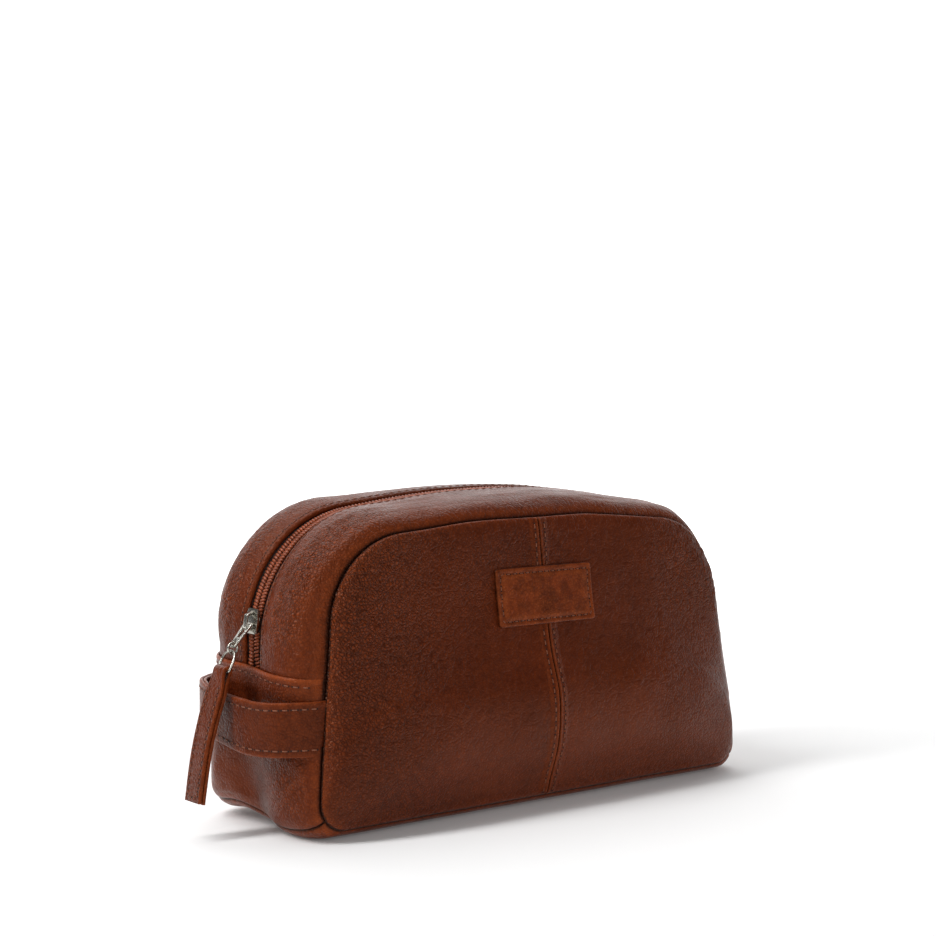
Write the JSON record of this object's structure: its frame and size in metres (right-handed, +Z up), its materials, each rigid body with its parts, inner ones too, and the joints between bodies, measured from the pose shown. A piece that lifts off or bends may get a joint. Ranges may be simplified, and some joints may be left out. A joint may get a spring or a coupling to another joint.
{
  "type": "leather toiletry bag",
  "caption": "Soft dome-topped leather toiletry bag with a zip over its top, a leather zip pull, a sewn carrying loop on one end and a plain stitched label.",
  "frame": {"origin": "middle of the flat base, on the surface the bag stands on", "axes": "+X along the bag, away from the end with the carrying loop; -Y towards the front with the label; +Z up"},
  "size_m": [0.302, 0.1046, 0.1471],
  "materials": {
    "leather": "semi-gloss pebbled",
    "zip_tape": "woven",
    "zip_coil": "satin",
    "metal": "polished nickel",
    "lining": "plain weave"
  },
  "bodies": {
    "bag": {"front_panel_left": "leather", "front_panel_right": "leather", "back_panel_left": "leather", "back_panel_right": "leather", "top_gusset_front": "leather", "top_gusset_rear": "leather", "end_panel_left": "leather", "end_panel_right": "leather", "bottom_panel": "leather", "handle_strap": "leather", "handle_strap_backing": "leather", "label_patch": "leather", "zipper_tape_front": "zip_tape", "zipper_tape_rear": "zip_tape", "zipper_coil_front": "zip_coil", "zipper_coil_rear": "zip_coil", "zipper_top_stops": "metal", "zipper_bottom_stop": "metal", "lining_top_front": "lining", "lining_top_rear": "lining", "lining_base_and_ends": "lining", "lining_front": "lining", "lining_back": "lining", "inner_pocket": "lining"},
    "slider": {"slider_body": "metal", "slider_crown": "metal"},
    "puller": {"puller_link": "metal"},
    "rings": {"jump_ring": "metal", "pull_ring": "metal"},
    "pull": {"pull_tab": "leather"}
  },
  "joints": [
    {"name": "zip_slide", "type": "hinge", "parent": "bag", "child": "slider", "pos_m": [-0.0745, 0, 0.083], "axis": [0, 1, 0], "range_deg": [0, 62]},
    {"name": "puller_swing", "type": "hinge", "parent": "slider", "child": "puller", "pos_m": [-0.13432, 0, 0.09149], "axis": [0, 1, 0], "range_deg": [0, 85]},
    {"name": "ring_swing", "type": "hinge", "parent": "puller", "child": "rings", "pos_m": [-0.14134, 0, 0.08369], "axis": [0, 1, 0], "range_deg": [0, 40]},
    {"name": "pull_swing", "type": "hinge", "parent": "rings", "child": "pull", "pos_m": [-0.14745, 0, 0.07221], "axis": [0, 1, 0], "range_deg": [0, 40]}
  ]
}
